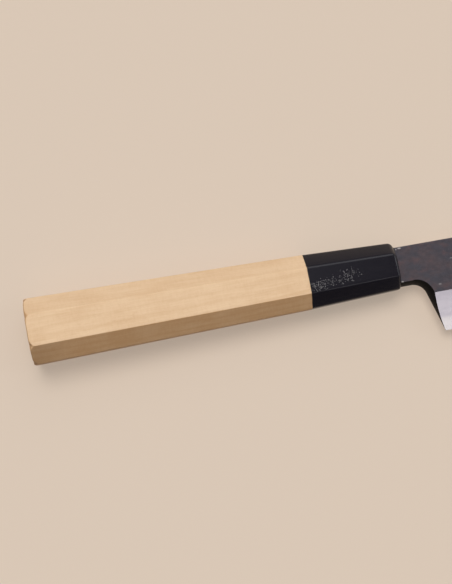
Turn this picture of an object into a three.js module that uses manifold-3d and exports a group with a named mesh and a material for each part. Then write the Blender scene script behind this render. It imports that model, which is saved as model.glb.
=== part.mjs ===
// Yanagiba: a single-bevel Japanese slicing knife, lying on its hollow side with the bevelled side up.
// Millimetres: +X points to the tip, +Y to the spine and +Z up. The origin is in the middle of the
// flat of the wooden handle that the knife rests on.

import * as THREE from "three";
import Module from "manifold-3d";

const wasm = await Module();
wasm.setup();
const { clamp, degToRad, lerp } = THREE.MathUtils;

// Handle: an octagon that tapers from the butt of the wood to the mouth of the horn ferrule.
const woodLength = 105.3;
const ferruleLength = 35.0;
const buttHeight = 24.7;
const jointHeight = 20.7;
const mouthHeight = 18.0;
const buttWidth = 21.0;
const mouthWidth = 14.9;
const cheekShare = 0.475; // how much of the height the broad flats take
const sideShare = 0.42; // how much of the width the flats on the spine and edge sides take
const woodArris = 0.5;
const hornArris = 1.4;
const buttRound = 1.2;
const buttArris = 4.0; // the arrises grow to this round the end face of the butt
const mouthRound = 1.6;
const mouthLean = 0.6; // how much larger the rounding is on the spine side, and smaller on the edge side

// Joint inside the handle: a dowel holds the ferrule to the wood, and resin holds the tang in both.
const dowelDiameter = 12.5;
const dowelInWood = 26;
const dowelInFerrule = 24;
const dowelBevel = 0.8;
const resinWall = 0.6;
const fitGap = 0.15;
const boreEndGap = 0.3;
const sealThickness = 0.6;
const sealInset = 0.1;

// Tang, drawn in from the neck at the two shoulders.
const tangLength = 100;
const tangHeight = 8.0;
const tangEndHeight = 4.5;
const tangStep = 0.6;
const tangEndThickness = 2.0;

// Blade, measured from the mouth of the ferrule.
const bladeLength = 270;
const bladeThickness = 4.2;
const tipThickness = 1.3;
const tipBlunt = 1.2;
const tipLift = 0.1;
const spineRise = 7.05;
const spineDrop = 5.0;
const spineCurve = 2.5;
const spineBevel = 0.4;
const heelReach = 15.1;
const heelDrop = 27.4;
const edgeCurve = 3.6;
const edgeThickness = 0.15;
const bevelHeight = 14.9; // from the edge to the ridge, at the heel
const bevelTipShare = 0.6; // how far up the blade the ridge has climbed at the tip

// Hard steel layer on the flat side, forge-welded to the soft iron, with its hollow.
const steelStart = 8.4;
const steelThickness = 1.3;
const steelTipThickness = 0.6;
const hollowRadius = 225;
const hollowRim = 1.8;
const hollowSetback = 8;
const hollowRunIn = 24;

// Neck and choil, the rounded notch between the neck and the heel.
const neckDrop = 8.0;
const choilStart = 5.2;
const choilRadius = 5.6;
const neckRound = 1.5;
const choilRound = 2.0;

// Fineness of the curves
const arrisSteps = 3;
const endSteps = 6;
const roundSides = 32;
const heelStations = 12;
const bladeStations = 34;
const hollowSteps = 8;
const choilSteps = 8;
const choilLevels = 5;

// How far a cut or a joined shape reaches past the face that it starts from
const cutMargin = 2;

// Places along the knife
const buttX = -woodLength / 2;
const jointX = woodLength / 2;
const boreEndX = jointX + dowelInFerrule + boreEndGap;
const mouthX = jointX + ferruleLength;
const shoulderX = mouthX + sealThickness;
const steelX = mouthX + steelStart;
const heelX = mouthX + heelReach;
const tipX = mouthX + bladeLength;
const tangEndX = mouthX - tangLength;

// The centreline falls towards the tip, so that a flat of the wood lies level and the tip nearly touches.
const centreFall = (buttWidth / 2 - bladeThickness / 2 - tipLift) / (tipX - buttX);
const centreHeight = (x) => buttWidth / 2 - centreFall * (x - buttX);
const jointWidth = buttWidth - 2 * centreFall * woodLength;

const paleWood = new THREE.MeshStandardMaterial({ color: "#dcbc94", roughness: 0.62, metalness: 0 });
const blackHorn = new THREE.MeshStandardMaterial({ color: "#211f22", roughness: 0.3, metalness: 0 });
const hardwood = new THREE.MeshStandardMaterial({ color: "#b98f5f", roughness: 0.7, metalness: 0 });
const resin = new THREE.MeshStandardMaterial({ color: "#d9c9a0", roughness: 0.4, metalness: 0 });
const blackResin = new THREE.MeshStandardMaterial({ color: "#1b1918", roughness: 0.45, metalness: 0 });
const darkIron = new THREE.MeshStandardMaterial({ color: "#564f50", roughness: 0.5, metalness: 0.8 });
const brightSteel = new THREE.MeshStandardMaterial({ color: "#cfcfd2", roughness: 0.22, metalness: 1 });

// A closed solid through rings of points, each counter-clockwise seen from the loft's far end.
// Heights are given from the centreline, and points that fall together become one.
function loft(rings) {
  const positions = [];
  const triangles = [];
  const known = new Map();
  const vertex = (point) => {
    const placed = [point.x, point.y, point.z + centreHeight(point.x)];
    const key = placed.map((value) => value.toFixed(5)).join();
    if (!known.has(key)) {
      known.set(key, known.size);
      positions.push(...placed);
    }
    return known.get(key);
  };
  const triangle = (a, b, c) => {
    if (a !== b && b !== c && c !== a) triangles.push(a, b, c);
  };
  const middle = (ring) => {
    const sum = ring.reduce((total, point) => total.add(point), new THREE.Vector3());
    return vertex(sum.divideScalar(ring.length));
  };
  const numbered = rings.map((ring) => ring.map(vertex));
  const first = numbered[0];
  const last = numbered.at(-1);
  const firstMiddle = middle(rings[0]);
  const lastMiddle = middle(rings.at(-1));
  for (let i = 0; i < first.length; i += 1) {
    const j = (i + 1) % first.length;
    triangle(firstMiddle, first[j], first[i]);
    triangle(lastMiddle, last[i], last[j]);
    for (let k = 1; k < numbered.length; k += 1) {
      const near = numbered[k - 1];
      const far = numbered[k];
      triangle(near[i], near[j], far[j]);
      triangle(near[i], far[j], far[i]);
    }
  }
  const vertProperties = new Float32Array(positions);
  const triVerts = new Uint32Array(triangles);
  return new wasm.Manifold(new wasm.Mesh({ numProp: 3, vertProperties, triVerts }));
}

// A ring across the knife, from [y, z] pairs.
function across(x, pairs) {
  return pairs.map(([y, z]) => new THREE.Vector3(x, y, z));
}

function piece(name, solid, material) {
  const { vertProperties, triVerts } = solid.getMesh();
  const geometry = new THREE.BufferGeometry();
  geometry.setAttribute("position", new THREE.BufferAttribute(vertProperties, 3));
  geometry.setIndex(new THREE.BufferAttribute(triVerts, 1));
  geometry.computeVertexNormals();
  const mesh = new THREE.Mesh(geometry, material);
  mesh.name = name;
  return mesh;
}

// One section of the handle: eight flats with round arrises, all drawn in by an inset.
function octagon(x, arris, inset) {
  const inWood = x < jointX;
  const share = inWood ? (x - buttX) / woodLength : (x - jointX) / ferruleLength;
  const y = (inWood ? lerp(buttHeight, jointHeight, share) : lerp(jointHeight, mouthHeight, share)) / 2;
  const z = (inWood ? lerp(buttWidth, jointWidth, share) : lerp(jointWidth, mouthWidth, share)) / 2;
  const slant = Math.atan2(y * (1 - cheekShare), z * (1 - sideShare));
  const slantReach = y * Math.cos(slant) + z * sideShare * Math.sin(slant);
  const angles = [0, slant, Math.PI / 2, Math.PI - slant];
  const reaches = [y, slantReach, z, slantReach];
  const pairs = [];
  for (let flat = 0; flat < 8; flat += 1) {
    const [a, b] = [flat, flat + 1].map((k) => angles[k % 4] + Math.PI * Math.floor(k / 4));
    const [reachA, reachB] = [flat, flat + 1].map((k) => reaches[k % 4] - inset - arris);
    const centreY = (reachA * Math.sin(b) - reachB * Math.sin(a)) / Math.sin(b - a);
    const centreZ = (reachB * Math.cos(a) - reachA * Math.cos(b)) / Math.sin(b - a);
    for (let step = 0; step <= arrisSteps; step += 1) {
      const turn = lerp(a, b, step / arrisSteps);
      pairs.push([centreY + arris * Math.cos(turn), centreZ + arris * Math.sin(turn)]);
    }
  }
  return across(x, pairs);
}

// The rings of an end of the handle that is rounded off, from its face inwards. The arrises change from
// those of the face to those of the body. A lean makes the rounding larger on the spine side and smaller
// on the edge side.
function roundedEnd(faceX, inward, radius, lean, faceArris, arris) {
  const rings = [];
  for (let step = 0; step <= endSteps; step += 1) {
    const turn = degToRad(90) * (step / endSteps);
    const drawnIn = 1 - Math.sin(turn);
    const drawnBack = inward * (1 - Math.cos(turn));
    const ring = octagon(faceX + drawnBack * radius, lerp(arris, faceArris, drawnIn), drawnIn * radius);
    const halfHeight = Math.max(...ring.map((point) => point.y));
    for (const point of ring) {
      point.x += (drawnBack * lean * point.y) / halfHeight;
      point.y -= drawnIn * lean;
    }
    rings.push(ring);
  }
  return rings;
}

function circle(x, radius) {
  const pairs = [];
  for (let side = 0; side < roundSides; side += 1) {
    const turn = degToRad(360) * (side / roundSides);
    pairs.push([radius * Math.cos(turn), radius * Math.sin(turn)]);
  }
  return across(x, pairs);
}

function rectangle(x, lowY, highY, lowZ, highZ) {
  return across(x, [[lowY, lowZ], [highY, lowZ], [highY, highZ], [lowY, highZ]]);
}

// The tapered tang, or with a margin the space around it, between two places along the knife.
function tangShape(fromX, toX, margin) {
  const ring = (x) => {
    const share = (mouthX - x) / tangLength;
    const y = lerp(tangHeight, tangEndHeight, share) / 2 + margin;
    const z = lerp(bladeThickness - 2 * tangStep, tangEndThickness, share) / 2 + margin;
    return rectangle(x, -y, y, -z, z);
  };
  return loft([ring(fromX), ring(toX)]);
}

// The space in dowel and wood that the tang and its resin fill
function tangChannel() {
  return tangShape(tangEndX - resinWall - 2 * fitGap, mouthX, resinWall + 2 * fitGap);
}

function dowelBore(fromX, toX) {
  const radius = dowelDiameter / 2 + fitGap;
  return loft([circle(fromX, radius), circle(toX, radius)]);
}

function handleBody() {
  const butt = roundedEnd(buttX, 1, buttRound, 0, buttArris, woodArris);
  const rings = [...butt, octagon(jointX, woodArris, 0)];
  const bore = dowelBore(jointX - dowelInWood - boreEndGap, jointX + cutMargin);
  return loft(rings).subtract(bore).subtract(tangChannel());
}

function ferrule() {
  const mouth = roundedEnd(mouthX, -1, mouthRound, mouthLean, hornArris, hornArris);
  const rings = [octagon(jointX, hornArris, 0), ...mouth.reverse()];
  const bore = dowelBore(jointX - cutMargin, boreEndX);
  const slot = tangShape(jointX, mouthX + cutMargin, fitGap);
  return loft(rings).subtract(bore).subtract(slot);
}

function dowel() {
  const radius = dowelDiameter / 2;
  const backX = jointX - dowelInWood;
  const frontX = jointX + dowelInFerrule;
  const rings = [
    circle(backX, radius - dowelBevel),
    circle(backX + dowelBevel, radius),
    circle(frontX - dowelBevel, radius),
    circle(frontX, radius - dowelBevel),
  ];
  return loft(rings).subtract(tangChannel());
}

function tangResin() {
  const outside = tangShape(tangEndX - resinWall - fitGap, boreEndX - fitGap, resinWall + fitGap);
  return outside.subtract(tangShape(tangEndX - fitGap, mouthX, fitGap));
}

// The thin bead that fills the gap between the shoulders of the blade and the mouth of the ferrule
function mouthSeal() {
  const z = bladeThickness / 2 - sealInset;
  const ring = (x) => rectangle(x, sealInset - neckDrop, spineRise - sealInset, -z, z);
  const hole = tangShape(jointX, mouthX + cutMargin, fitGap);
  return loft([ring(mouthX), ring(shoulderX)]).subtract(hole).subtract(choilCutter());
}

// Blade outline and thickness, along the knife
const flatZ = -bladeThickness / 2;
const fromHeel = (x) => clamp((x - heelX) / (tipX - heelX), 0, 1);
const fromMouth = (x) => (x - mouthX) / bladeLength;
const topZ = (x) => flatZ + lerp(bladeThickness, tipThickness, fromMouth(x));
const weldZ = (x) => flatZ + lerp(steelThickness, steelTipThickness, fromMouth(x));
const spineY = (x) => spineRise - spineDrop * fromHeel(x) ** spineCurve;
const edgeY = (x) => lerp(-heelDrop, spineRise - spineDrop - tipBlunt, fromHeel(x) ** edgeCurve);

// The ridge where the flat of the blade turns into the bevel
function ridgeY(x) {
  const heelShare = bevelHeight / (spineRise + heelDrop);
  return lerp(edgeY(x), spineY(x), lerp(heelShare, bevelTipShare, fromHeel(x) ** 2));
}

// The line on the bevel where the iron ends and the steel shows
function weldY(x) {
  const edgeZ = flatZ + edgeThickness;
  return lerp(edgeY(x), ridgeY(x), (weldZ(x) - edgeZ) / (topZ(x) - edgeZ));
}

const spineBevelAt = (x) => Math.min(spineBevel, (spineY(x) - ridgeY(x)) / 2);

// Places of the blade's sections: even over the heel, then closer and closer towards the tip.
function bladePlaces() {
  const evenEnd = heelX + hollowSetback + hollowRunIn;
  const places = [];
  for (let k = 0; k < heelStations; k += 1) {
    places.push(lerp(steelX, evenEnd, k / heelStations));
  }
  for (let k = 0; k <= bladeStations; k += 1) {
    places.push(lerp(evenEnd, tipX, Math.sin((degToRad(90) * k) / bladeStations)));
  }
  return places;
}

function ironRing(x) {
  const spine = spineY(x);
  const bevel = spineBevelAt(x);
  return across(x, [
    [weldY(x), weldZ(x)],
    [spine, weldZ(x)],
    [spine, topZ(x) - bevel],
    [spine - bevel, topZ(x)],
    [ridgeY(x), topZ(x)],
  ]);
}

// The hollow is ground on a large wheel, so its depth follows from its width.
function steelRing(x) {
  const edge = edgeY(x);
  const spine = spineY(x);
  const bevel = spineBevelAt(x);
  const runIn = clamp((x - heelX - hollowSetback) / hollowRunIn, 0, 1);
  const halfWidth = Math.max(0, (spine - edge) / 2 - hollowRim) * Math.sqrt(1 - (1 - runIn) ** 2);
  const hollow = [];
  for (let k = 0; k <= hollowSteps; k += 1) {
    const side = lerp(-1, 1, k / hollowSteps);
    const depth = (halfWidth ** 2 * (1 - side ** 2)) / (2 * hollowRadius);
    hollow.push([(edge + spine) / 2 + side * halfWidth, flatZ + depth]);
  }
  return across(x, [
    [edge, flatZ],
    ...hollow,
    [spine - bevel, flatZ],
    [spine, flatZ + bevel],
    [spine, weldZ(x)],
    [weldY(x), weldZ(x)],
    [edge, flatZ + edgeThickness],
  ]);
}

// The full section of the neck, before the choil is cut
function neckRing(x) {
  const spine = spineY(x);
  const bevel = spineBevelAt(x);
  return across(x, [
    [-heelDrop, flatZ],
    [spine - bevel, flatZ],
    [spine, flatZ + bevel],
    [spine, topZ(x) - bevel],
    [spine - bevel, topZ(x)],
    [-heelDrop, topZ(x)],
  ]);
}

// What is ground away under the neck and behind the heel. The cut leans forward more and more as it comes
// up through the blade, which rounds the upper side over and leaves the thin edge at the heel as it is.
function choilCutter() {
  const bendX = mouthX + choilStart;
  const bendY = -neckDrop - choilRadius;
  const reach = Math.hypot(heelX - bendX, -heelDrop - bendY);
  const straight = Math.sqrt(reach ** 2 - choilRadius ** 2);
  const heelAngle = Math.atan2(-heelDrop - bendY, heelX - bendX) - Math.atan2(choilRadius, straight);

  // A point on the bend at a heading, moved on along that heading
  const place = (angle, onward, round) => ({
    x: bendX - choilRadius * Math.sin(angle) + onward * Math.cos(angle),
    y: bendY + choilRadius * Math.cos(angle) + onward * Math.sin(angle),
    angle,
    round,
  });
  const outline = [place(0, -choilStart - cutMargin, neckRound)];
  for (let k = 0; k <= choilSteps; k += 1) {
    const share = k / choilSteps;
    outline.push(place(heelAngle * share, 0, lerp(neckRound, choilRound, Math.sqrt(share))));
  }
  const beyond = place(heelAngle, straight + cutMargin, choilRound);
  const left = outline[0].x;
  const bottom = beyond.y - cutMargin;
  const lowRight = { ...beyond, y: bottom, round: 0 };
  const corners = [beyond, lowRight, { ...lowRight, x: left }];

  const ring = (z, shift) =>
    [...outline, ...corners]
      .map(({ x, y, angle, round }) => {
        const step = round * shift;
        return new THREE.Vector3(x - step * Math.sin(angle), y + step * Math.cos(angle), z);
      })
      .reverse();
  const rings = [ring(flatZ - cutMargin, 0)];
  for (let k = 0; k <= choilLevels; k += 1) {
    const level = k / choilLevels;
    rings.push(ring(lerp(flatZ, topZ(heelX), level), level ** 2));
  }
  rings.push(ring(-flatZ + cutMargin, 1));
  return loft(rings);
}

function bladeIron() {
  const layer = loft([shoulderX, ...bladePlaces()].map(ironRing));
  const neck = loft([shoulderX, steelX].map(neckRing));
  const tang = tangShape(tangEndX, shoulderX + cutMargin, 0);
  return layer.add(neck).subtract(choilCutter()).add(tang);
}

function bladeSteel() {
  return loft(bladePlaces().map(steelRing)).subtract(choilCutter());
}

const knife = new THREE.Group();
knife.add(
  piece("handle_body", handleBody(), paleWood),
  piece("ferrule", ferrule(), blackHorn),
  piece("dowel", dowel(), hardwood),
  piece("tang_resin", tangResin(), resin),
  piece("mouth_seal", mouthSeal(), blackResin),
  piece("blade_iron", bladeIron(), darkIron),
  piece("blade_steel", bladeSteel(), brightSteel),
);

export default knife;
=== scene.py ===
import math

import bmesh
import bpy
from mathutils import Matrix, Vector, noise


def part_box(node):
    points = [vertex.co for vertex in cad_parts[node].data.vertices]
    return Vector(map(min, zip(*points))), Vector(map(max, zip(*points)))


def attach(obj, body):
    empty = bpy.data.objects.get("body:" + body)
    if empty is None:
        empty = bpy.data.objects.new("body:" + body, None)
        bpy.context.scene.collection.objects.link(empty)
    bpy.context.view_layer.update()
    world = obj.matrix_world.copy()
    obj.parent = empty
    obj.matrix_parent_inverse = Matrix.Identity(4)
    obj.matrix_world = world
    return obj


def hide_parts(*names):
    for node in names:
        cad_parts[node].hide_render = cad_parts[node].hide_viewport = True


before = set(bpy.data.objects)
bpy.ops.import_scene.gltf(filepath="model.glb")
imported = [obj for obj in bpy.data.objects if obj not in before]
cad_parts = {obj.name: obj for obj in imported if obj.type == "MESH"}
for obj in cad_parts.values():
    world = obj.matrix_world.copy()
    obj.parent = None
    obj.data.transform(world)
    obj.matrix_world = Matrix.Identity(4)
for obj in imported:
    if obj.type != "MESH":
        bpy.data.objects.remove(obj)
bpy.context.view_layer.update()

# A single-bevel slicing knife that lies on its hollow side, in metres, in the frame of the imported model.
# Five finer meshes with the same forms stand for the pieces that show.

MM = 0.001

# Places along the knife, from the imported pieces
BUTT_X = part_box("handle_body")[0][0]
JOINT_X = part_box("handle_body")[1][0]
MOUTH_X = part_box("ferrule")[1][0]
SHOULDER_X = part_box("mouth_seal")[1][0]
TANG_END_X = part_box("blade_iron")[0][0]
STEEL_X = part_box("blade_steel")[0][0]
TIP_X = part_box("blade_iron")[1][0]

# Handle
FLATS = 8
BUTT_HEIGHT = 24.7 * MM
JOINT_HEIGHT = 20.7 * MM
MOUTH_HEIGHT = 18.0 * MM
BUTT_WIDTH = 21.0 * MM
MOUTH_WIDTH = 14.9 * MM
CHEEK_SHARE = 0.475
SIDE_SHARE = 0.42
WOOD_ARRIS = 0.5 * MM
HORN_ARRIS = 1.4 * MM
BUTT_ROUND = 0.5 * MM
BUTT_CORNER_ROUND = 2.1 * MM
BUTT_CORNER_REACH = 2.6 * MM
MOUTH_ROUND = 1.6 * MM
MOUTH_LEAN = 0.6 * MM
JOINT_EASE = 0.12 * MM
WOOD_CROWN = 0.04 * MM
HORN_CROWN = 0.02 * MM

# Bores in the handle, and the tang in them
DOWEL_BORE = 12.8 * MM
BORE_IN_WOOD = 26.3 * MM
BORE_IN_HORN = 24.3 * MM
CHANNEL_MARGIN = 0.9 * MM
SLOT_MARGIN = 0.15 * MM
TANG_HEIGHT = 8.0 * MM
TANG_END_HEIGHT = 4.5 * MM
TANG_THICKNESS = 3.0 * MM
TANG_END_THICKNESS = 2.0 * MM

# Blade
BLADE_THICKNESS = 4.2 * MM
TIP_THICKNESS = 1.3 * MM
TIP_BLUNT = 1.2 * MM
TIP_LIFT = 0.1 * MM
SPINE_RISE = 7.05 * MM
SPINE_DROP = 5.0 * MM
SPINE_CURVE = 2.5
SPINE_EASE = 0.4 * MM
HEEL_REACH = 15.1 * MM
HEEL_X = MOUTH_X + HEEL_REACH
HEEL_DROP = 27.4 * MM
BLADE_WIDTH = SPINE_RISE + HEEL_DROP
EDGE_CURVE = 3.6
EDGE_THICKNESS = 0.15 * MM
BEVEL_HEIGHT = 14.9 * MM
BEVEL_TIP_SHARE = 0.6
STEEL_THICKNESS = 1.3 * MM
STEEL_TIP_THICKNESS = 0.6 * MM
HOLLOW_RADIUS = 225 * MM
HOLLOW_RIM = 1.8 * MM
HOLLOW_SETBACK = 8 * MM
HOLLOW_RUN_IN = 24 * MM

# Neck and choil
NECK_DROP = 8.0 * MM
CHOIL_START = 5.2 * MM
CHOIL_RADIUS = 5.6 * MM
NECK_ROUND = 1.5 * MM
CHOIL_ROUND = 2.0 * MM
CUT_MARGIN = 2 * MM

# Hand work: how far surfaces and the weld line wander, and over what length
FORGE_WAVE = 0.03 * MM
FORGE_LENGTH = 15 * MM
WELD_WAVE = 0.45 * MM
WELD_LENGTH = 7 * MM
WELD_RIPPLE_LENGTH = WELD_LENGTH / 2.7
WELD_RIPPLE_SHARE = 0.5

# Points of a mesh that are nearer than this are one point
JOIN_DISTANCE = 0.01 * MM

# Keeps a division from being one by zero
ALMOST_ZERO = 1e-9

# Fineness of the meshes
ARRIS_STEPS = 6
FLAT_STEPS = 12
END_STEPS = 10
WOOD_STATIONS = 30
HORN_STATIONS = 12
NECK_STATIONS = 6
HEEL_STATIONS = 24
BLADE_STATIONS = 84
HIRA_STEPS = 8
BEVEL_STEPS = 5
STEEL_STEPS = 3
HOLLOW_STEPS = 24
CHOIL_STEPS = 16
CHOIL_LEVELS = 10


def lerp(first, last, share):
    return first + (last - first) * share


def clamp01(value):
    return min(max(value, 0.0), 1.0)


def spread(first, last, count):
    return [lerp(first, last, k / count) for k in range(count + 1)]


# The centreline falls towards the tip, so that a flat of the wood lies level.
CENTRE_FALL = (BUTT_WIDTH / 2 - BLADE_THICKNESS / 2 - TIP_LIFT) / (TIP_X - BUTT_X)
JOINT_WIDTH = BUTT_WIDTH - 2 * CENTRE_FALL * (JOINT_X - BUTT_X)


def centre_height(x):
    return BUTT_WIDTH / 2 - CENTRE_FALL * (x - BUTT_X)


def loft(name, rings, looped=False):
    """A closed mesh through rings of points, whose heights are from the centreline."""
    shape = bmesh.new()
    rows = []
    for ring in rings:
        rows.append([shape.verts.new((x, y, z + centre_height(x))) for x, y, z in ring])
    pairs = list(zip(rows, rows[1:]))
    if looped:
        pairs.append((rows[-1], rows[0]))
    else:
        shape.faces.new(rows[0])
        shape.faces.new(rows[-1])
    for near, far in pairs:
        for i in range(len(near)):
            shape.faces.new((near[i], near[i - 1], far[i - 1], far[i]))
    bmesh.ops.remove_doubles(shape, verts=shape.verts, dist=JOIN_DISTANCE)
    bmesh.ops.recalc_face_normals(shape, faces=shape.faces)
    mesh = bpy.data.meshes.new(name)
    shape.to_mesh(mesh)
    shape.free()
    piece = bpy.data.objects.new(name, mesh)
    bpy.context.scene.collection.objects.link(piece)
    return piece


def across(x, pairs):
    return [(x, y, z) for y, z in pairs]


# Handle


def octagon(x, arris, inset, crown):
    """A section of the handle: eight slightly crowned flats with round arrises, drawn in by an inset."""
    if x < JOINT_X:
        share = (x - BUTT_X) / (JOINT_X - BUTT_X)
        high = lerp(BUTT_HEIGHT, JOINT_HEIGHT, share) / 2
        wide = lerp(BUTT_WIDTH, JOINT_WIDTH, share) / 2
    else:
        share = (x - JOINT_X) / (MOUTH_X - JOINT_X)
        high = lerp(JOINT_HEIGHT, MOUTH_HEIGHT, share) / 2
        wide = lerp(JOINT_WIDTH, MOUTH_WIDTH, share) / 2
    slant = math.atan2(high * (1 - CHEEK_SHARE), wide * (1 - SIDE_SHARE))
    slant_reach = high * math.cos(slant) + wide * SIDE_SHARE * math.sin(slant)
    quarter = [(0, high), (slant, slant_reach), (math.pi / 2, wide), (math.pi - slant, slant_reach)]
    flats = [(turn + half * math.pi, reach) for half in (0, 1) for turn, reach in quarter]
    arcs = []
    for k in range(FLATS):
        first, first_reach = flats[k]
        last, last_reach = flats[(k + 1) % FLATS]
        if k == FLATS - 1:
            last += 2 * math.pi
        first_reach -= inset + arris + crown
        last_reach -= inset + arris + crown
        bend = math.sin(last - first)
        y = (first_reach * math.sin(last) - last_reach * math.sin(first)) / bend
        z = (last_reach * math.cos(first) - first_reach * math.cos(last)) / bend
        turns = spread(first, last, ARRIS_STEPS)
        arcs.append([(y + arris * math.cos(turn), z + arris * math.sin(turn)) for turn in turns])
    pairs = []
    for k in range(FLATS):
        turn = flats[(k + 1) % FLATS][0]
        start = arcs[k][-1]
        end = arcs[(k + 1) % FLATS][0]
        pairs += arcs[k]
        for step in range(1, FLAT_STEPS):
            share = step / FLAT_STEPS
            rise = 4 * crown * share * (1 - share)
            y = lerp(start[0], end[0], share) + rise * math.cos(turn)
            z = lerp(start[1], end[1], share) + rise * math.sin(turn)
            pairs.append((y, z))
    return across(x, pairs)


def mouth_rings():
    """The rings of the rounded mouth of the ferrule, from its face inwards.

    The lean makes the rounding larger on the spine side and smaller on the edge side.
    """
    rings = []
    for turn in spread(0, math.pi / 2, END_STEPS):
        drawn_in = 1 - math.sin(turn)
        drawn_back = 1 - math.cos(turn)
        ring = octagon(MOUTH_X - drawn_back * MOUTH_ROUND, HORN_ARRIS, drawn_in * MOUTH_ROUND, HORN_CROWN)
        half = max(y for x, y, z in ring)
        leant = []
        for x, y, z in ring:
            leant.append((x - drawn_back * MOUTH_LEAN * y / half, y - drawn_in * MOUTH_LEAN, z))
        rings.append(leant)
    return rings


def corner_shares(ring):
    """For each point of a handle section: 1 on the arrises, falling to 0 some way along the flats."""
    block = ARRIS_STEPS + FLAT_STEPS
    shares = []
    for i, point in enumerate(ring):
        first = i - i % block
        arris_end = ring[first + ARRIS_STEPS]
        next_arris = ring[(first + block) % len(ring)]
        away = min(math.dist(point, arris_end), math.dist(point, next_arris))
        on_flat = i % block > ARRIS_STEPS
        shares.append(clamp01(1 - away / BUTT_CORNER_REACH) if on_flat else 1.0)
    return shares


def butt_rings():
    """The rings of the butt, from its face inwards, with a rounding that grows towards the arrises."""
    face = octagon(BUTT_X, WOOD_ARRIS, 0, WOOD_CROWN)
    strips = []
    for i, share in enumerate(corner_shares(face)):
        radius = lerp(BUTT_ROUND, BUTT_CORNER_ROUND, share**2)
        x, y, z = octagon(BUTT_X + radius, WOOD_ARRIS, 0, WOOD_CROWN)[i]
        reach = math.hypot(y, z)
        strip = []
        for turn in spread(0, math.pi / 2, END_STEPS):
            kept = 1 - radius * (1 - math.sin(turn)) / reach
            strip.append((BUTT_X + radius * (1 - math.cos(turn)), y * kept, z * kept))
        strips.append(strip)
    return [list(ring) for ring in zip(*strips)]


def bearings():
    """The directions of the points of a handle section, for the bores inside it."""
    return [math.atan2(z, y) for x, y, z in octagon(JOINT_X, HORN_ARRIS, 0, HORN_CROWN)]


def round_bore(x, turns):
    radius = DOWEL_BORE / 2
    return across(x, [(radius * math.cos(turn), radius * math.sin(turn)) for turn in turns])


def tang_half(x):
    share = (MOUTH_X - x) / (MOUTH_X - TANG_END_X)
    high = lerp(TANG_HEIGHT, TANG_END_HEIGHT, share) / 2
    thick = lerp(TANG_THICKNESS, TANG_END_THICKNESS, share) / 2
    return high, thick


def tang_slot(x, margin, turns):
    """The rectangle round the tang, with its points in the given directions."""
    high, thick = tang_half(x)
    pairs = []
    for turn in turns:
        c = math.cos(turn)
        s = math.sin(turn)
        reach = min((high + margin) / max(abs(c), ALMOST_ZERO), (thick + margin) / max(abs(s), ALMOST_ZERO))
        pairs.append((reach * c, reach * s))
    return across(x, pairs)


def wood_handle():
    bore_end = JOINT_X - BORE_IN_WOOD
    channel_end = TANG_END_X - CHANNEL_MARGIN
    turns = bearings()
    stations = spread(BUTT_X, JOINT_X - JOINT_EASE, WOOD_STATIONS)[1:]
    rings = butt_rings()
    rings += [octagon(x, WOOD_ARRIS, 0, WOOD_CROWN) for x in stations]
    rings.append(octagon(JOINT_X, WOOD_ARRIS, JOINT_EASE, WOOD_CROWN))
    rings += [round_bore(JOINT_X, turns), round_bore(bore_end, turns)]
    rings += [tang_slot(x, CHANNEL_MARGIN, turns) for x in (bore_end, channel_end)]
    return loft("wood_handle", rings)


def horn_ferrule():
    bore_end = JOINT_X + BORE_IN_HORN
    turns = bearings()
    stations = spread(JOINT_X + JOINT_EASE, MOUTH_X - MOUTH_ROUND, HORN_STATIONS)[:-1]
    rings = [octagon(JOINT_X, HORN_ARRIS, JOINT_EASE, HORN_CROWN)]
    rings += [octagon(x, HORN_ARRIS, 0, HORN_CROWN) for x in stations]
    rings += reversed(mouth_rings())
    rings += [tang_slot(x, SLOT_MARGIN, turns) for x in (MOUTH_X, bore_end)]
    rings += [round_bore(bore_end, turns), round_bore(JOINT_X, turns)]
    return loft("horn_ferrule", rings, looped=True)


# Blade

FLAT_Z = -BLADE_THICKNESS / 2


def from_heel(x):
    return clamp01((x - HEEL_X) / (TIP_X - HEEL_X))


def from_mouth(x):
    return (x - MOUTH_X) / (TIP_X - MOUTH_X)


def top_z(x):
    return FLAT_Z + lerp(BLADE_THICKNESS, TIP_THICKNESS, from_mouth(x))


def weld_z(x):
    return FLAT_Z + lerp(STEEL_THICKNESS, STEEL_TIP_THICKNESS, from_mouth(x))


def spine_y(x):
    return SPINE_RISE - SPINE_DROP * from_heel(x) ** SPINE_CURVE


def edge_y(x):
    return lerp(-HEEL_DROP, SPINE_RISE - SPINE_DROP - TIP_BLUNT, from_heel(x) ** EDGE_CURVE)


def ridge_y(x):
    heel_share = BEVEL_HEIGHT / BLADE_WIDTH
    return lerp(edge_y(x), spine_y(x), lerp(heel_share, BEVEL_TIP_SHARE, from_heel(x) ** 2))


def spine_ease(x):
    return min(SPINE_EASE, (spine_y(x) - ridge_y(x)) / 2)


def hollow_half(x):
    """Half the width of the hollow, which runs out in a curve near the heel."""
    run_in = clamp01((x - HEEL_X - HOLLOW_SETBACK) / HOLLOW_RUN_IN)
    return max(0.0, (spine_y(x) - edge_y(x)) / 2 - HOLLOW_RIM) * math.sqrt(1 - (1 - run_in) ** 2)


def weld_point(x):
    """Where the wandering weld line crosses the bevel."""
    edge_z = FLAT_Z + EDGE_THICKNESS
    span = ridge_y(x) - edge_y(x)
    wander = noise.noise(Vector((x / WELD_LENGTH, 0.5, 0.5)))
    wander += WELD_RIPPLE_SHARE * noise.noise(Vector((x / WELD_RIPPLE_LENGTH, 7.5, 0.5)))
    share = (weld_z(x) - edge_z) / (top_z(x) - edge_z)
    share += 2 * WELD_WAVE / BLADE_WIDTH * wander
    return edge_y(x) + share * span, lerp(edge_z, top_z(x), share)


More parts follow.
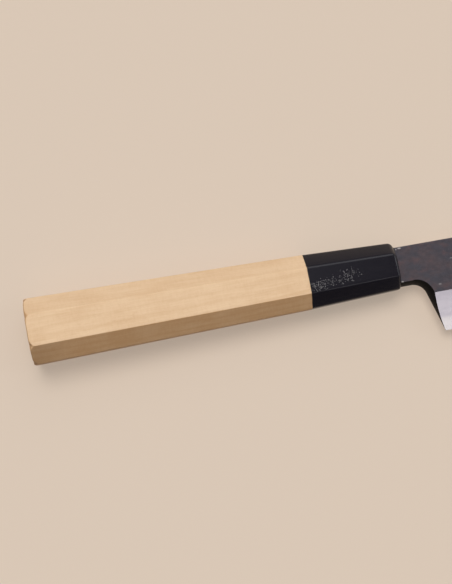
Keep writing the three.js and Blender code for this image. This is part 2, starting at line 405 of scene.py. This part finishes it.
def blade_places():
    """Places of the blade's sections: even over the heel, then closer and closer towards the tip."""
    even_end = HEEL_X + HOLLOW_SETBACK + HOLLOW_RUN_IN
    places = spread(STEEL_X, even_end, HEEL_STATIONS)[:-1]
    for turn in spread(0, math.pi / 2, BLADE_STATIONS):
        places.append(lerp(even_end, TIP_X, math.sin(turn)))
    return places


def ring_of(x, corners, steps):
    """A section with straight sides between the corners, each cut into that many steps."""
    pairs = []
    for k, count in enumerate(steps):
        start = corners[k]
        end = corners[(k + 1) % len(corners)]
        for step in range(count):
            share = step / count
            pairs.append((lerp(start[0], end[0], share), lerp(start[1], end[1], share)))
    return across(x, pairs)


# How finely each side of an iron section is cut: below, up the spine, over the top and down the bevel
IRON_STEPS = [1, 1, 1, 2, 1, 1, HIRA_STEPS, BEVEL_STEPS, 1, 1]


def forged(ring):
    """The ring with the slight waves of the hammered flat, fading out down the bevel."""
    waved = []
    for x, y, z in ring:
        share = clamp01((z - weld_z(x)) / (top_z(x) - weld_z(x)))
        wave = noise.noise(Vector((x / FORGE_LENGTH, y / FORGE_LENGTH, 3.5)))
        waved.append((x, y, z + FORGE_WAVE * share**2 * wave))
    return waved


def iron_ring(x, full):
    """A section of the iron, down to the flat side if it is full, or else down to the weld."""
    edge = edge_y(x)
    spine = spine_y(x)
    top = top_z(x)
    ease = spine_ease(x)
    round_in = ease * (1 - math.sqrt(0.5))
    weld_high = (spine, weld_z(x))
    weld_low = weld_point(x)
    if full:
        below = [(edge, FLAT_Z), (spine - ease, FLAT_Z), (spine, FLAT_Z + ease)]
        last = (edge, FLAT_Z + EDGE_THICKNESS)
    else:
        below = [weld_low, weld_high, weld_high]
        last = weld_low
    spine_side = [weld_high, (spine, top - ease), (spine - round_in, top - round_in), (spine - ease, top)]
    corners = below + spine_side + [(ridge_y(x), top), weld_low, last]
    return forged(ring_of(x, corners, IRON_STEPS))


def tang_ring(x):
    high, thick = tang_half(x)
    below = [(-high, -thick), (high, -thick), (high, -thick)]
    spine_side = [(high, 0), (high, thick), (high, thick), (high, thick)]
    return ring_of(x, below + spine_side + [(-high, thick), (-high, 0), (-high, -thick)], IRON_STEPS)


def steel_ring(x):
    """A section of the steel. A large wheel grinds the hollow, so its depth follows from its width."""
    edge = edge_y(x)
    spine = spine_y(x)
    ease = spine_ease(x)
    half = hollow_half(x)
    corners = [(edge, FLAT_Z)]
    for side in spread(-1, 1, HOLLOW_STEPS):
        depth = half**2 * (1 - side**2) / (2 * HOLLOW_RADIUS)
        corners.append(((edge + spine) / 2 + side * half, FLAT_Z + depth))
    corners += [(spine - ease, FLAT_Z), (spine, FLAT_Z + ease), (spine, weld_z(x)), weld_point(x)]
    corners.append((edge, FLAT_Z + EDGE_THICKNESS))
    steps = [1] * (len(corners) - 2) + [STEEL_STEPS, 1]
    return ring_of(x, corners, steps)


def choil_cutter():
    """What is ground away under the neck and behind the heel, leaning forward as it comes up."""
    bend_x = MOUTH_X + CHOIL_START
    bend_y = -NECK_DROP - CHOIL_RADIUS
    reach = math.hypot(HEEL_X - bend_x, -HEEL_DROP - bend_y)
    straight = math.sqrt(reach**2 - CHOIL_RADIUS**2)
    heel_angle = math.atan2(-HEEL_DROP - bend_y, HEEL_X - bend_x) - math.atan2(CHOIL_RADIUS, straight)

    def on_cut(angle, onward, rounding):
        x = bend_x - CHOIL_RADIUS * math.sin(angle) + onward * math.cos(angle)
        y = bend_y + CHOIL_RADIUS * math.cos(angle) + onward * math.sin(angle)
        return x, y, angle, rounding

    outline = [on_cut(0, -CHOIL_START - CUT_MARGIN, NECK_ROUND)]
    for share in spread(0, 1, CHOIL_STEPS):
        rounding = lerp(NECK_ROUND, CHOIL_ROUND, math.sqrt(share))
        outline.append(on_cut(heel_angle * share, 0, rounding))
    beyond = on_cut(heel_angle, straight + CUT_MARGIN, CHOIL_ROUND)
    left = outline[0][0]
    bottom = beyond[1] - CUT_MARGIN
    outline += [beyond, (beyond[0], bottom, 0, 0), (left, bottom, 0, 0)]

    def ring(z, shift):
        points = []
        for x, y, angle, rounding in outline:
            step = rounding * shift
            points.append((x - step * math.sin(angle), y + step * math.cos(angle), z))
        return points

    rings = [ring(FLAT_Z - CUT_MARGIN, 0)]
    for level in spread(0, 1, CHOIL_LEVELS)[1:]:
        rings.append(ring(lerp(FLAT_Z, top_z(HEEL_X), level), level**2))
    rings.append(ring(-FLAT_Z + CUT_MARGIN, 1))
    return loft("choil_cutter", rings)


def cut_choil(piece):
    cutter = choil_cutter()
    modifier = piece.modifiers.new("choil", "BOOLEAN")
    modifier.object = cutter
    modifier.operation = "DIFFERENCE"
    modifier.solver = "EXACT"
    graph = bpy.context.evaluated_depsgraph_get()
    mesh = bpy.data.meshes.new_from_object(piece.evaluated_get(graph))
    piece.modifiers.clear()
    piece.data = mesh
    bpy.data.objects.remove(cutter)
    join_points(mesh)


def join_points(mesh):
    """Joins the double points that a cut can leave, and splits its many-sided faces into good triangles."""
    shape = bmesh.new()
    shape.from_mesh(mesh)
    bmesh.ops.remove_doubles(shape, verts=shape.verts, dist=JOIN_DISTANCE)
    bmesh.ops.dissolve_degenerate(shape, edges=shape.edges, dist=JOIN_DISTANCE)
    many_sided = [face for face in shape.faces if len(face.verts) > 4]
    bmesh.ops.triangulate(shape, faces=many_sided, ngon_method="BEAUTY")
    shape.to_mesh(mesh)
    shape.free()


def iron_blade():
    rings = [tang_ring(TANG_END_X), tang_ring(SHOULDER_X)]
    rings += [iron_ring(x, True) for x in spread(SHOULDER_X, STEEL_X, NECK_STATIONS)]
    rings += [iron_ring(x, False) for x in blade_places()]
    piece = loft("iron_blade", rings)
    cut_choil(piece)
    return piece


def steel_edge():
    piece = loft("steel_edge", [steel_ring(x) for x in blade_places()])
    cut_choil(piece)
    return piece


SEAL_FLARE = 0.35 * MM
SEAL_INSET = 0.1 * MM
SEAL_STEPS = 6
SEAL_LEVELS = 8


def seal_bead():
    """The bead round the tang, drawn up in a small curve against the face of the horn."""

    def outside(x):
        grow = SEAL_FLARE * ((SHOULDER_X - x) / (SHOULDER_X - MOUTH_X)) ** 2 - SEAL_INSET
        low = FLAT_Z - grow
        top = -FLAT_Z + grow
        spine = SPINE_RISE + grow
        pairs = [(spine, low), (spine, 0), (spine, top)]
        for level in spread(1, 0, SEAL_LEVELS):
            pairs.append((-NECK_DROP - grow + NECK_ROUND * level**2, lerp(low, top, level)))
        return across(x, pairs)

    turns = [math.atan2(z, y) for x, y, z in outside(SHOULDER_X)]
    rings = [outside(x) for x in spread(MOUTH_X, SHOULDER_X, SEAL_STEPS)]
    rings += [tang_slot(x, SLOT_MARGIN, turns) for x in (SHOULDER_X, MOUTH_X)]
    return loft("seal_bead", rings, looped=True)


# Materials


class Nodes:
    """Short calls that add nodes to a tree. Each gives back an output to build on."""

    def __init__(self, tree):
        self.tree = tree

    def add(self, kind, inputs, **settings):
        node = self.tree.nodes.new(kind)
        for name, value in settings.items():
            setattr(node, name, value)
        for name, value in inputs.items():
            self.feed(node.inputs[name], value)
        return node

    def feed(self, socket, value):
        if isinstance(value, bpy.types.NodeSocket):
            self.tree.links.new(value, socket)
        else:
            socket.default_value = value

    def parts(self, vector):
        return self.add("ShaderNodeSeparateXYZ", {"Vector": vector}).outputs

    def slope(self, value, low, high, bottom=0.0, top=1.0, kind="LINEAR"):
        """Goes straight from the bottom to the top value as the input goes from low to high."""
        inputs = {"Value": value, "From Min": low, "From Max": high, "To Min": bottom, "To Max": top}
        return self.add("ShaderNodeMapRange", inputs, interpolation_type=kind).outputs[0]

    def band(self, value, low, high, bottom=0.0, top=1.0):
        """Like a slope, but in a smooth step."""
        return self.slope(value, low, high, bottom, top, kind="SMOOTHSTEP")

    def math(self, operation, first, second=0.0):
        return self.add("ShaderNodeMath", {0: first, 1: second}, operation=operation).outputs[0]


class Surface(Nodes):
    """One procedural material, with its sizes in metres."""

    def __init__(self, name, **constants):
        self.material = bpy.data.materials.new(name)
        self.material.use_nodes = True
        super().__init__(self.material.node_tree)
        self.shader = self.tree.nodes["Principled BSDF"]
        for socket, value in constants.items():
            self.shader.inputs[socket.replace("_", " ")].default_value = value
        places = self.add("ShaderNodeTexCoord", {}).outputs
        self.place = places["Object"]
        self.facing = self.parts(places["Normal"])

    def scaled(self, size, turn=(0, 0, 0), shift=(0, 0, 0)):
        scale = [1 / length for length in size]
        moved = self.add("ShaderNodeMapping", {"Vector": self.place, "Location": shift, "Rotation": turn})
        sized = self.add("ShaderNodeMapping", {"Vector": moved.outputs[0], "Scale": scale})
        return sized.outputs[0]

    def noise(self, size, detail=2.0, turn=(0, 0, 0), shift=(0, 0, 0)):
        inputs = {"Vector": self.scaled(size, turn, shift), "Scale": 1.0, "Detail": detail}
        return self.add("ShaderNodeTexNoise", inputs).outputs[0]

    def distance(self, place, size):
        """How far a point is from a place, counted in the given sizes along X, Y and Z."""
        shifted = self.scaled(size, shift=[-part for part in place])
        return self.add("ShaderNodeVectorMath", {0: shifted}, operation="LENGTH").outputs["Value"]

    def mix(self, share, first, second):
        inputs = {0: share, 6: first, 7: second}
        return self.add("ShaderNodeMix", inputs, data_type="RGBA").outputs[2]

    def dim(self, tint, share):
        return self.add("ShaderNodeVectorMath", {0: tint, 3: share}, operation="SCALE").outputs[0]

    def finish(self, tint, roughness, height, depth):
        """Joins colour, roughness and a bump of that depth to the shader."""
        bump = self.add("ShaderNodeBump", {"Height": height, "Distance": depth, "Strength": 1.0})
        self.feed(self.shader.inputs["Base Color"], tint)
        self.feed(self.shader.inputs["Roughness"], roughness)
        self.feed(self.shader.inputs["Normal"], bump.outputs[0])
        return self.material


def colour(red, green, blue):
    """A colour given as it looks on the screen, from 0 to 255."""
    values = []
    for part in (red, green, blue):
        share = part / 255
        values.append(share / 12.92 if share <= 0.04045 else ((share + 0.055) / 1.055) ** 2.4)
    return (*values, 1.0)


# Growth rings. A wave texture makes so many turns in a metre at a scale of 1.
RING_SPACING = 2.6 * MM
WAVE_TURNS = 20 / (2 * math.pi)
PITH_OFFSET = (0, 62 * MM, 48 * MM)
PITH_TURN = (0, 0.012, 0.02)
# How far from the butt the painted shade on the edge side deepens
BUTT_SHADE_LENGTH = 22 * MM


def magnolia(name, pale, dark):
    """Straight-grained pale wood: faint growth rings, fibres along X and fine pores.

    Painted shade makes the chamfers and sides a little darker, and the faces towards the edge side darker
    still, most of all near the butt. The end grain is darker in its own colour and carries painted shade as
    well.
    """
    look = Surface(name, Specular_IOR_Level=0.3)
    inputs = {"Vector": look.place, "Location": PITH_OFFSET, "Rotation": PITH_TURN}
    pith = look.add("ShaderNodeMapping", inputs).outputs[0]
    inputs = {
        "Vector": pith,
        "Scale": 1 / (RING_SPACING * WAVE_TURNS),
        "Distortion": 3.0,
        "Detail": 2.0,
        "Detail Scale": 0.12,
    }
    rings = look.add("ShaderNodeTexWave", inputs, wave_type="RINGS", rings_direction="X").outputs["Fac"]
    fibres = look.noise((26 * MM, 0.45 * MM, 0.45 * MM), 3.0)
    streaks = look.noise((90 * MM, 3.0 * MM, 3.0 * MM), 2.0)
    clouds = look.noise((12 * MM, 5 * MM, 5 * MM), 3.0)
    ripples = look.noise((0.8 * MM, 2.5 * MM, 2.5 * MM), 2.0)
    pores = look.band(look.noise((2.2 * MM, 0.16 * MM, 0.16 * MM), 1.0), 0.60, 0.72)
    # End grain faces towards the butt, darker in their own colour and also given painted shade
    end_grain_and_shade = look.band(look.facing["X"], -0.1, -0.9)
    # Faces towards the edge side, which get painted shade
    painted_shade_side = look.band(look.facing["Y"], -0.15, -0.5)
    # Painted shade on the edge side, deepest near the butt and on the end grain
    near_butt = look.band(look.parts(look.place)["X"], BUTT_X + BUTT_SHADE_LENGTH, BUTT_X, 0.0, 0.6)
    painted_butt_shade = look.math("MULTIPLY", look.math("MAXIMUM", end_grain_and_shade, near_butt), painted_shade_side)
    # Painted shade: chamfers and sides a little darker, more on the end grain and on the edge side near the
    # butt
    shade = look.band(look.math("ABSOLUTE", look.facing["Y"]), 0.3, 0.6, 1.0, 0.88)
    shade = look.math("MULTIPLY", shade, look.band(end_grain_and_shade, 0.0, 1.0, 1.0, 0.8))
    shade = look.math("MULTIPLY", shade, look.band(painted_butt_shade, 0.0, 1.0, 1.0, 0.8))
    # Tone towards the dark colour: the end grain's own colour, painted shade on the edge side, then the
    # grain
    tone = look.math("MAXIMUM", end_grain_and_shade, look.math("MULTIPLY", painted_shade_side, 0.7))
    patterns = [
        (rings, 0.45, 1.0, 0.07),
        (fibres, 0.35, 0.75, 0.13),
        (streaks, 0.4, 0.7, 0.10),
        (clouds, 0.35, 0.7, 0.16),
        (ripples, 0.35, 0.7, 0.08),
    ]
    for pattern, low, high, share in patterns:
        tone = look.math("ADD", tone, look.band(pattern, low, high, 0.0, share))
    tone = look.math("ADD", tone, look.math("MULTIPLY", pores, 0.16))
    height = look.math("SUBTRACT", look.math("MULTIPLY", fibres, 0.6), pores)
    roughness = look.band(fibres, 0.3, 0.7, 0.50, 0.64)
    tint = look.dim(look.mix(tone, pale, dark), shade)
    return look.finish(tint, roughness, height, 0.02 * MM)


# Clusters of pale flecks on the ferrule's upper flat: place, reach along and across, and density
FLECK_CLUSTERS = [
    (55.5 * MM, -2.4 * MM, 3.4 * MM, 1.9 * MM, 0.45),
    (61.5 * MM, -1.6 * MM, 6.0 * MM, 2.2 * MM, 0.2),
    (68.0 * MM, -0.6 * MM, 4.0 * MM, 2.6 * MM, 0.26),
]
FLECK_HEIGHT = 16 * MM
FLECK_SPACING = (0.3 * MM, 0.26 * MM, 0.26 * MM)


def horn():
    """Polished black horn with faint brown streaks and clusters of fine pale flecks."""
    look = Surface("black_horn", IOR=1.5)
    streaks = look.noise((30 * MM, 1.4 * MM, 1.4 * MM), 3.0)
    base = look.mix(look.band(streaks, 0.5, 0.75), colour(20, 16, 24), colour(26, 22, 28))
    near = 0.0
    for x, y, along, aside, density in FLECK_CLUSTERS:
        distance = look.distance((x, y, FLECK_HEIGHT), (along, aside, 2 * along))
        near = look.math("MAXIMUM", near, look.band(distance, 1.6, 0.2, 0.0, density))
    inputs = {"Vector": look.scaled(FLECK_SPACING), "Scale": 1.0}
    cells = look.add("ShaderNodeTexVoronoi", inputs, voronoi_dimensions="2D")
    chance = look.add("ShaderNodeSeparateColor", {"Color": cells.outputs["Color"]}).outputs
    kept = look.band(look.math("SUBTRACT", near, chance["Red"]), 0.0, 0.05)
    reach = look.band(chance["Green"], 0.0, 1.0, 0.2, 0.4)
    dots = look.band(look.math("SUBTRACT", reach, cells.outputs["Distance"]), 0.0, 0.06)
    flecks = look.math("MULTIPLY", kept, dots)
    scratches = look.noise((12 * MM, 0.12 * MM, 0.12 * MM), 2.0)
    roughness = look.band(scratches, 0.3, 0.7, 0.15, 0.24)
    tint = look.mix(flecks, base, colour(170, 167, 165))
    return look.finish(tint, roughness, scratches, 0.002 * MM)


# Bright spots on the flat of the blade: place, reach along and across, and share
BRIGHT_SPOTS = [
    (90.1 * MM, 6.5 * MM, 0.8 * MM, 0.35 * MM, 0.8),
    (88.7 * MM, 6.2 * MM, 0.4 * MM, 0.3 * MM, 0.5),
    (88.9 * MM, -6.3 * MM, 0.5 * MM, 0.3 * MM, 0.8),
    (103.1 * MM, -9.7 * MM, 0.7 * MM, 0.4 * MM, 0.3),
    (109.6 * MM, -0.6 * MM, 0.9 * MM, 0.25 * MM, 0.3),
]


def forge_scale():
    """Dark oxide on the forged flat: grey and brown patches, fine pits and a few bright specks."""
    look = Surface("forge_scale", Metallic=0.15)
    patches = look.band(look.noise((7 * MM, 4.5 * MM, 4.5 * MM), 4.0), 0.38, 0.64)
    cloud = look.band(look.noise((2.2 * MM, 1.6 * MM, 1.6 * MM), 4.0), 0.35, 0.7)
    grit = look.noise((0.3 * MM, 0.3 * MM, 0.3 * MM), 3.0)
    rust = look.band(look.noise((3.2 * MM, 2.4 * MM, 2.4 * MM), 3.0, shift=(9 * MM, 0, 0)), 0.5, 0.72)
    tint = look.mix(patches, colour(71, 68, 75), colour(84, 72, 75))
    tint = look.mix(look.math("MULTIPLY", rust, 0.6), tint, colour(95, 73, 74))
    tint = look.mix(look.math("MULTIPLY", cloud, 0.5), tint, colour(60, 55, 60))
    tint = look.mix(look.band(grit, 0.5, 0.8, 0.0, 0.5), tint, colour(104, 96, 99))
    inputs = {"Vector": look.scaled((11 * MM, 7 * MM, 7 * MM)), "Scale": 1.0}
    cells = look.add("ShaderNodeTexVoronoi", inputs)
    # Bright specks, at random and at the listed spots
    bright_specks = look.band(cells.outputs["Distance"], 0.06, 0.02, 0.0, 0.7)
    for x, y, along, aside, share in BRIGHT_SPOTS:
        distance = look.distance((x, y, 0), (along, aside, BLADE_WIDTH))
        bright_specks = look.math("MAXIMUM", bright_specks, look.band(distance, 1.2, 0.5, 0.0, share))
    tint = look.mix(bright_specks, tint, colour(190, 184, 180))
    roughness = look.band(patches, 0.0, 1.0, 0.40, 0.52)
    height = look.math("ADD", look.math("MULTIPLY", cloud, 0.8), look.math("MULTIPLY", grit, 0.35))
    return look.finish(tint, roughness, height, 0.02 * MM)


def dark_choil():
    """The near-black face under the neck and behind the heel, a little lighter towards the heel."""
    look = Surface("dark_choil", Specular_IOR_Level=0.15)
    lines = look.noise((0.25 * MM, 0.25 * MM, 5 * MM), 2.0)
    blots = look.noise((3 * MM, 3 * MM, 3 * MM), 3.0)
    tint = look.mix(look.band(blots, 0.35, 0.7), colour(8, 6, 5), colour(17, 13, 10))
    near_heel = look.band(look.parts(look.place)["Y"], -NECK_DROP - CHOIL_RADIUS, -HEEL_DROP)
    tint = look.mix(near_heel, tint, colour(46, 37, 30))
    return look.finish(tint, look.band(lines, 0.3, 0.7, 0.50, 0.65), lines, 0.01 * MM)


def above_weld(look):
    """How high a point lies above the plane of the weld."""
    base = centre_height(0) + weld_z(0)
    slope = centre_height(1) + weld_z(1) - base
    inputs = {0: look.place, 1: (-slope, 0, 1)}
    height = look.add("ShaderNodeVectorMath", inputs, operation="DOT_PRODUCT").outputs["Value"]
    return look.math("SUBTRACT", height, base)


# Grinding lines run across the blade, a little aslant. The bevel is bright up to one height above the weld,
# and then grows hazy up to another.
GRINDING_LINES = (0.14 * MM, 9 * MM, 9 * MM)
GRINDING_SLANT = (0, 0, 0.12)
BRIGHT_HEIGHT = 0.45 * MM
HAZE_START = 0.5 * MM
HAZE_END = 2.9 * MM


def ground_metal(name, bright, hazy, roughness, depth, at_weld=None):
    """Bare ground metal, partly matte from its cloudy haze and fine grinding lines."""
    look = Surface(name, Metallic=0.6)
    haze = look.band(look.noise((9 * MM, 3 * MM, 3 * MM), 3.0), 0.35, 0.7)
    lines = look.noise(GRINDING_LINES, 3.0, turn=GRINDING_SLANT)
    tint = look.mix(look.math("MULTIPLY", haze, 0.6), bright, hazy)
    tint = look.mix(look.band(lines, 0.5, 0.8, 0.0, 0.06), tint, hazy)
    if at_weld:
        height = above_weld(look)
        tint = look.mix(look.band(height, HAZE_START, HAZE_END, 0.0, 0.4), tint, hazy)
        tint = look.mix(look.band(height, 0.0, BRIGHT_HEIGHT, 0.9, 0.0), tint, at_weld)
    uneven = look.band(lines, 0.3, 0.7, roughness * 0.94, roughness * 1.08)
    return look.finish(tint, uneven, lines, depth)


def resin(name, clear, cloudy, roughness):
    """Cured resin, a little cloudy, with a fine dusty bump."""
    look = Surface(name)
    clouds = look.noise((4 * MM, 4 * MM, 4 * MM), 3.0)
    dust = look.noise((0.4 * MM, 0.4 * MM, 0.4 * MM), 2.0)
    tint = look.mix(look.band(clouds, 0.35, 0.7), clear, cloudy)
    return look.finish(tint, look.band(dust, 0.3, 0.7, roughness * 0.85, roughness * 1.15), dust, 0.01 * MM)


SHARP_TURN = math.radians(8)


def paint(piece, materials, choose):
    """Gives each face the material that is chosen for it, and keeps edges sharp where materials meet."""
    mesh = piece.data
    mesh.materials.clear()
    names = list(materials)
    for material in materials.values():
        mesh.materials.append(material)
    for face in mesh.polygons:
        face.material_index = names.index(choose(face.center, face.normal))
        face.use_smooth = True
    mesh.set_sharp_from_angle(angle=SHARP_TURN)
    shape = bmesh.new()
    shape.from_mesh(mesh)
    for edge in shape.edges:
        if len({face.material_index for face in edge.link_faces}) > 1:
            edge.smooth = False
    shape.to_mesh(mesh)
    shape.free()


# A face whose normal leans back, or down on the flat, by more than this belongs to the choil
CHOIL_LEAN = 0.2

# A face looks along an axis where its normal has more than this share of it
MOSTLY = 0.5


def all_over(centre, normal):
    return "all"


def iron_part(centre, normal):
    on_bevel = centre.y < ridge_y(centre.x)
    leans_down = normal.y < -CHOIL_LEAN and not (on_bevel and normal.z > MOSTLY)
    if centre.x > SHOULDER_X and (normal.x < -CHOIL_LEAN or leans_down):
        return "choil"
    return "bevel" if on_bevel and normal.z > MOSTLY else "scale"


def steel_part(centre, normal):
    if normal.z < -MOSTLY:
        middle = (edge_y(centre.x) + spine_y(centre.x)) / 2
        return "hollow" if abs(centre.y - middle) < hollow_half(centre.x) else "edge"
    if normal.y > MOSTLY:
        return "scale"
    if normal.x < -CHOIL_LEAN and centre.y < SPINE_RISE - MM:
        return "choil"
    return "edge"


# Stage


FLOOR_SIZE = 60.0
FLOOR_DROP = 0.2 * MM
FLOOR_GLOW = 0.5
FLOOR_ROUGHNESS = 0.8
FLOOR_COLOUR = colour(219, 201, 183)


def floor():
    """A plain floor. A share of its own glow, for what is seen and mirrored, softens the shadow on it."""
    mesh = bpy.data.meshes.new("floor")
    corners = [(-1, -1), (1, -1), (1, 1), (-1, 1)]
    points = [(x * FLOOR_SIZE, y * FLOOR_SIZE, -FLOOR_DROP) for x, y in corners]
    mesh.from_pydata(points, [], [(0, 1, 2, 3)])
    plane = bpy.data.objects.new("floor", mesh)
    bpy.context.scene.collection.objects.link(plane)
    look = Surface("floor")
    look.shader.inputs["Base Color"].default_value = FLOOR_COLOUR
    look.shader.inputs["Roughness"].default_value = FLOOR_ROUGHNESS
    glow = look.add("ShaderNodeEmission", {"Color": FLOOR_COLOUR}).outputs[0]
    path = look.add("ShaderNodeLightPath", {}).outputs
    mirrored = look.math("MAXIMUM", path["Is Glossy Ray"], path["Is Transmission Ray"])
    share = look.math("MULTIPLY", look.math("MAXIMUM", path["Is Camera Ray"], mirrored), FLOOR_GLOW)
    both = look.add("ShaderNodeMixShader", {0: share, 1: look.shader.outputs[0], 2: glow})
    look.feed(look.tree.nodes["Material Output"].inputs["Surface"], both.outputs[0])
    mesh.materials.append(look.material)


def sun(name, towards, strength, spread_angle, tint, kind):
    """A broad soft light from the given direction, for matte or mirrored light or both."""
    lamp = bpy.data.lights.new(name, "SUN")
    lamp.energy = strength
    lamp.angle = spread_angle
    lamp.color = tint
    holder = bpy.data.objects.new(name, lamp)
    holder.rotation_euler = Vector(towards).to_track_quat("Z", "Y").to_euler()
    holder.visible_glossy = kind != "matte"
    holder.visible_diffuse = kind != "mirrored"
    bpy.context.scene.collection.objects.link(holder)


# Each soft light: where it comes from, strength, breadth in degrees, colour, and what it serves.
# The key is split in two, so that bare metal mirrors it softly and not as plain white.
LIGHTS = {
    "key": ((-0.10, 0.39, 0.92), 2.0, 34, (1.0, 0.98, 0.95), "matte"),
    "glint": ((-0.10, 0.39, 0.92), 0.10, 34, (1.0, 0.98, 0.95), "mirrored"),
    "fill": ((0.27, -0.46, 0.84), 0.086, 20, (1.0, 0.98, 0.99), "both"),
    "top": ((0.15, 0.08, 0.98), 0.020, 16, (0.92, 0.92, 1.0), "both"),
    "back": ((0.22, 0.62, 0.75), 0.55, 48, (0.97, 0.97, 1.0), "both"),
    "side": ((0.86, -0.02, 0.50), 0.18, 16, (0.95, 0.97, 1.0), "both"),
}


def lights():
    for name, (towards, strength, breadth, tint, kind) in LIGHTS.items():
        sun(name, towards, strength, math.radians(breadth), tint, kind)


# The sky: dim on the edge side, brighter on the spine side and towards both ends of the knife.
# The last pair says between which directions across the knife it brightens.
SKY_COLOUR = (0.88, 0.93, 1.0, 1.0)
SKY_EDGE_SIDE = 0.05
SKY_SPINE_SIDE = 0.18
SKY_ENDS = 0.45
SKY_RISE = (-0.9, 0.7)


def sky():
    world = bpy.data.worlds.new("studio")
    world.use_nodes = True
    look = Nodes(world.node_tree)
    towards = look.parts(look.add("ShaderNodeTexCoord", {}).outputs["Generated"])
    sides = look.slope(towards["Y"], *SKY_RISE, SKY_EDGE_SIDE, SKY_SPINE_SIDE)
    ends = look.math("MULTIPLY", look.math("MULTIPLY", towards["X"], towards["X"]), SKY_ENDS)
    background = look.tree.nodes["Background"]
    background.inputs["Color"].default_value = SKY_COLOUR
    look.feed(background.inputs["Strength"], look.math("ADD", sides, ends))
    bpy.context.scene.world = world


# The camera, fitted to the handle as the photograph shows it
CAMERA_PLACE = Vector((-16.15, -30.8, 438.9)) * MM
CAMERA_TARGET = Vector((22.05, 2.0, 8.0)) * MM
CAMERA_TURN = math.radians(-10.3)
CAMERA_LENS = 70.9


def camera():
    data = bpy.data.cameras.new("camera")
    data.lens = CAMERA_LENS
    data.clip_start = 10 * MM
    holder = bpy.data.objects.new("camera", data)
    back = (CAMERA_PLACE - CAMERA_TARGET).normalized()
    level = Vector((math.cos(CAMERA_TURN), math.sin(CAMERA_TURN), 0))
    right = (level - back * level.dot(back)).normalized()
    up = back.cross(right)
    turn = Matrix((right, up, back)).transposed()
    holder.matrix_world = Matrix.Translation(CAMERA_PLACE) @ turn.to_4x4()
    bpy.context.scene.collection.objects.link(holder)
    bpy.context.scene.camera = holder


def stand_in(piece, node, materials, choose):
    """Paints a piece and lets it stand for a packed one."""
    paint(piece, materials, choose)
    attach(piece, "root")
    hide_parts(node)


def keep(node, material):
    """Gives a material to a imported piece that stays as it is."""
    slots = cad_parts[node].data.materials
    slots.clear()
    slots.append(material)


BRIGHT_EDGE = colour(242, 234, 233)


def blade_looks():
    """The materials of the two metals: scale, a near-black choil and three kinds of ground surface."""
    return {
        "scale": forge_scale(),
        "choil": dark_choil(),
        "bevel": ground_metal(
            "ground_iron", colour(224, 216, 222), colour(201, 194, 202), 0.25, 0.0006 * MM, BRIGHT_EDGE
        ),
        "edge": ground_metal("edge_steel", BRIGHT_EDGE, colour(230, 222, 222), 0.22, 0.0005 * MM),
        "hollow": ground_metal(
            "hollow_steel", colour(214, 214, 217), colour(192, 192, 197), 0.28, 0.003 * MM
        ),
    }


def dress():
    looks = blade_looks()
    iron_looks = {name: looks[name] for name in ("scale", "bevel", "choil")}
    steel_looks = {name: looks[name] for name in ("edge", "hollow", "scale", "choil")}
    wood = magnolia("ho_wood", colour(235, 203, 166), colour(204, 160, 114))
    seal = resin("seal", colour(24, 22, 22), colour(34, 31, 30), 0.42)
    stand_in(wood_handle(), "handle_body", {"all": wood}, all_over)
    stand_in(horn_ferrule(), "ferrule", {"all": horn()}, all_over)
    stand_in(iron_blade(), "blade_iron", iron_looks, iron_part)
    stand_in(steel_edge(), "blade_steel", steel_looks, steel_part)
    stand_in(seal_bead(), "mouth_seal", {"all": seal}, all_over)
    keep("dowel", magnolia("dowel_wood", colour(190, 150, 106), colour(146, 104, 64)))
    keep("tang_resin", resin("resin", colour(218, 198, 150), colour(196, 168, 112), 0.35))


floor()
lights()
sky()
camera()
dress()

bpy.context.scene.view_settings.view_transform = "Standard"
